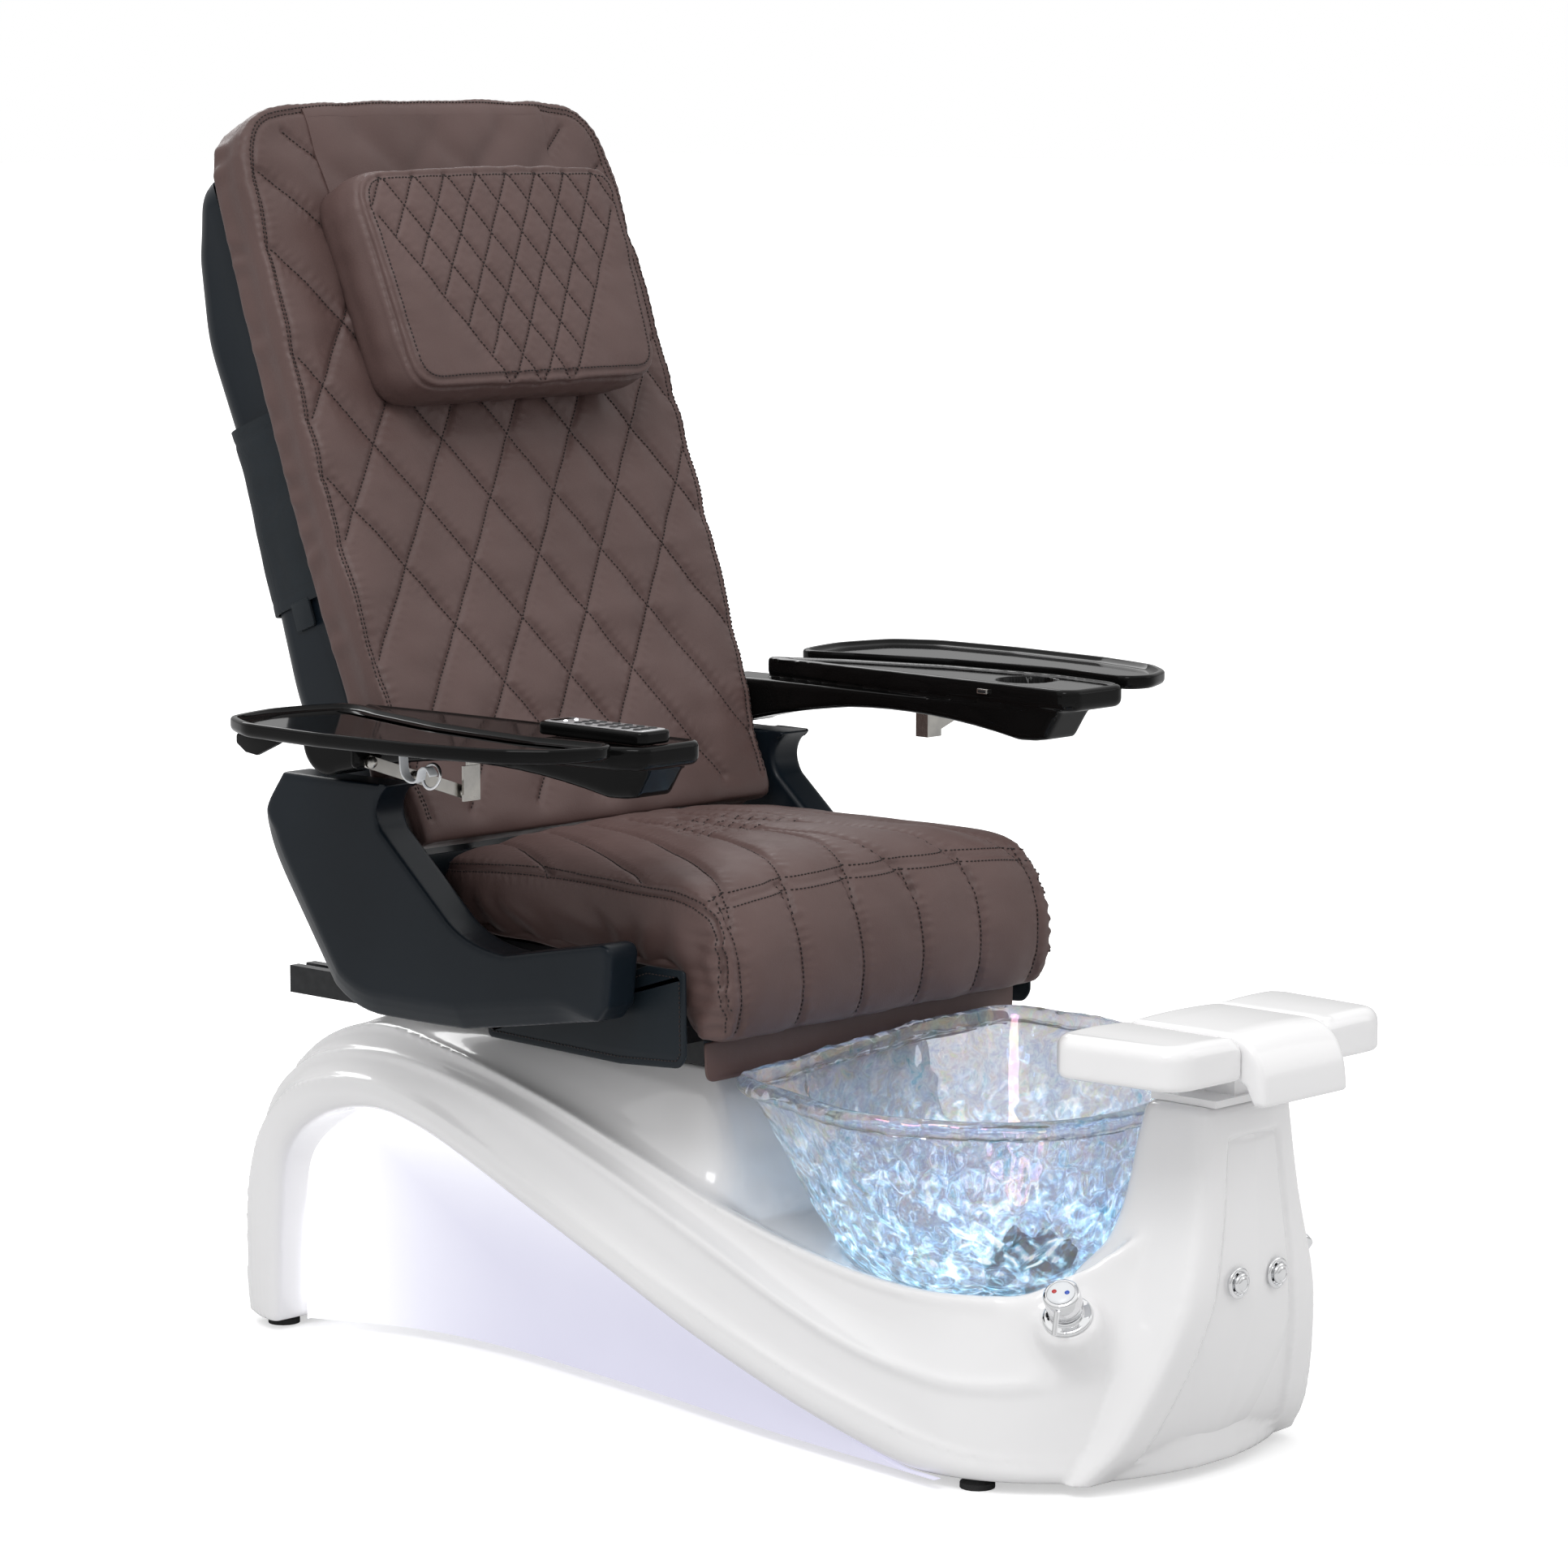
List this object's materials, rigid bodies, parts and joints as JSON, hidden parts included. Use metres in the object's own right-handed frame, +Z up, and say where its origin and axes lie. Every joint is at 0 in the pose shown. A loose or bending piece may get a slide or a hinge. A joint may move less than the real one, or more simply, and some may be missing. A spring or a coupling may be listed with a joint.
{
  "type": "pedicure spa chair",
  "caption": "Reclining massage chair on a sculpted white foot-bath base with a lit glass bowl, padded pillow, fold-down trays and a sliding footrest.",
  "frame": {"origin": "centre of the whole footprint, on the floor under the levelling feet", "axes": "+Z up, -Y the way the sitter faces (footrest and front panel), +X the sitter's left hand"},
  "size_m": [1.156, 1.4671, 1.4527],
  "materials": {
    "white_fibreglass": "gloss",
    "frosted_light_panel": "frosted, lit from behind",
    "led_strip": "glowing",
    "iridescent_glass": "hammered, iridescent",
    "chrome": "polished",
    "black_steel": "satin powder coat",
    "zinc_steel": "zinc plated",
    "black_plastic": "satin",
    "gloss_black": "piano gloss",
    "navy_plastic": "satin",
    "navy_fabric": "woven, matt",
    "mauve_leather": "soft grain, semi matt",
    "black_rubber": "matt"
  },
  "bodies": {
    "root": {"base_shell": "white_fibreglass", "light_panel_left": "frosted_light_panel", "light_panel_right": "frosted_light_panel", "led_strip_left": "led_strip", "led_strip_right": "led_strip", "chassis_frame": "black_steel", "levelling_foot_front_left": "black_rubber", "levelling_foot_front_right": "black_rubber", "levelling_foot_rear_left": "black_rubber", "levelling_foot_rear_right": "black_rubber", "drain_pump": "black_plastic", "control_box": "black_plastic", "glass_bowl": "iridescent_glass", "bowl_drain": "chrome", "jet_housing": "black_plastic", "front_panel": "white_fibreglass", "drain_button_bezel": "chrome", "jet_button_bezel": "chrome", "diverter_flange": "chrome", "mixer_flange": "chrome", "footrest_bracket": "black_steel", "seat_rail_left": "black_steel", "seat_rail_right": "black_steel", "slide_actuator": "black_plastic"},
    "jet_impeller": {"jet_impeller": "black_plastic"},
    "drain_button": {"drain_button": "chrome"},
    "jet_button": {"jet_button": "chrome"},
    "diverter_knob": {"diverter_knob": "chrome"},
    "mixer_knob": {"mixer_knob": "chrome"},
    "mixer_lever": {"mixer_lever": "chrome"},
    "footrest": {"footrest_saddle": "white_fibreglass", "footrest_pad_left": "white_fibreglass", "footrest_pad_right": "white_fibreglass"},
    "carriage": {"seat_frame": "black_steel", "seat_pan": "black_plastic", "seat_cushion": "mauve_leather", "apron_flap": "mauve_leather", "side_skirt_left": "navy_fabric", "side_skirt_right": "navy_fabric", "arm_shell_left": "navy_plastic", "arm_shell_right": "navy_plastic", "recline_actuator": "black_plastic"},
    "back": {"back_cushion": "mauve_leather", "back_shell": "navy_plastic", "back_sleeve": "navy_fabric", "back_frame": "black_steel", "pillow": "mauve_leather", "pillow_strap": "mauve_leather"},
    "massage_carriage": {"massage_carriage": "black_plastic"},
    "armrest_left": {"armrest_left": "gloss_black", "brace_bracket_left": "zinc_steel"},
    "tray_left": {"tray_left": "gloss_black"},
    "brace_lower_left": {"brace_lower_left": "zinc_steel"},
    "brace_upper_left": {"brace_upper_left": "zinc_steel"},
    "armrest_right": {"armrest_right": "gloss_black", "brace_bracket_right": "zinc_steel", "remote_control": "black_plastic"},
    "tray_right": {"tray_right": "gloss_black"},
    "brace_lower_right": {"brace_lower_right": "zinc_steel"},
    "brace_upper_right": {"brace_upper_right": "zinc_steel"}
  },
  "joints": [
    {"name": "seat_slide", "type": "slide", "parent": "root", "child": "carriage", "axis": [0, 1, 0], "range_m": [0, 0.15]},
    {"name": "back_recline", "type": "hinge", "parent": "carriage", "child": "back", "pos_m": [0, 0.3618, 0.506], "axis": [-1, 0, 0], "range_deg": [0, 35]},
    {"name": "massage_travel", "type": "slide", "parent": "back", "child": "massage_carriage", "axis": [0, 0.3518, 0.9361], "range_m": [-0.08, 0.46]},
    {"name": "footrest_slide", "type": "slide", "parent": "root", "child": "footrest", "axis": [0, -1, 0], "range_m": [0, 0.05]},
    {"name": "jet_impeller_spin", "type": "hinge", "parent": "root", "child": "jet_impeller", "pos_m": [0, -0.3586, 0.198], "axis": [0, 0, 1], "continuous": true},
    {"name": "jet_button_press", "type": "slide", "parent": "root", "child": "jet_button", "axis": [0, 1, 0], "range_m": [0, 0.003], "stiffness_N_per_m": 400},
    {"name": "drain_button_press", "type": "slide", "parent": "root", "child": "drain_button", "axis": [0, 1, 0], "range_m": [0, 0.003], "stiffness_N_per_m": 400},
    {"name": "mixer_turn", "type": "hinge", "parent": "root", "child": "mixer_knob", "pos_m": [-0.19245, -0.56683, 0.21143], "axis": [-0.5779, -0.2491, 0.7772], "range_deg": [-50, 50]},
    {"name": "mixer_lever_tilt", "type": "hinge", "parent": "mixer_knob", "child": "mixer_lever", "pos_m": [-0.21451, -0.57634, 0.20613], "axis": [0.3958, -0.9183, 0], "range_deg": [0, 15]},
    {"name": "diverter_turn", "type": "hinge", "parent": "root", "child": "diverter_knob", "pos_m": [0.19245, -0.56683, 0.21143], "axis": [0.5779, -0.2491, 0.7772], "range_deg": [0, 90]},
    {"name": "armrest_lift_left", "type": "hinge", "parent": "carriage", "child": "armrest_left", "pos_m": [0.337, 0.3834, 0.733], "axis": [-1, 0, 0], "range_deg": [0, 75]},
    {"name": "tray_fold_left", "type": "hinge", "parent": "armrest_left", "child": "tray_left", "pos_m": [0.425, 0.1014, 0.764], "axis": [0, 1, 0], "range_deg": [0, 80]},
    {"name": "brace_lower_turn_left", "type": "hinge", "parent": "armrest_left", "child": "brace_lower_left", "pos_m": [0.385, 0.1329, 0.702], "axis": [0, 1, 0], "range_deg": [0, 129]},
    {"name": "brace_upper_turn_left", "type": "hinge", "parent": "tray_left", "child": "brace_upper_left", "pos_m": [0.521, 0.1369, 0.748], "axis": [0, 1, 0], "range_deg": [-90, 0]},
    {"name": "armrest_lift_right", "type": "hinge", "parent": "carriage", "child": "armrest_right", "pos_m": [-0.337, 0.3834, 0.733], "axis": [-1, 0, 0], "range_deg": [0, 75]},
    {"name": "tray_fold_right", "type": "hinge", "parent": "armrest_right", "child": "tray_right", "pos_m": [-0.425, 0.1014, 0.764], "axis": [0, -1, 0], "range_deg": [0, 80]},
    {"name": "brace_lower_turn_right", "type": "hinge", "parent": "armrest_right", "child": "brace_lower_right", "pos_m": [-0.385, 0.1329, 0.702], "axis": [0, -1, 0], "range_deg": [0, 129]},
    {"name": "brace_upper_turn_right", "type": "hinge", "parent": "tray_right", "child": "brace_upper_right", "pos_m": [-0.521, 0.1369, 0.748], "axis": [0, -1, 0], "range_deg": [-90, 0]}
  ],
  "couplings": [
    {"joint": "brace_lower_turn_left", "follows": "tray_fold_left", "ratio": 1.5922},
    {"joint": "brace_upper_turn_left", "follows": "tray_fold_left", "ratio": -1.1049},
    {"joint": "brace_lower_turn_right", "follows": "tray_fold_right", "ratio": 1.5922},
    {"joint": "brace_upper_turn_right", "follows": "tray_fold_right", "ratio": -1.1049}
  ]
}
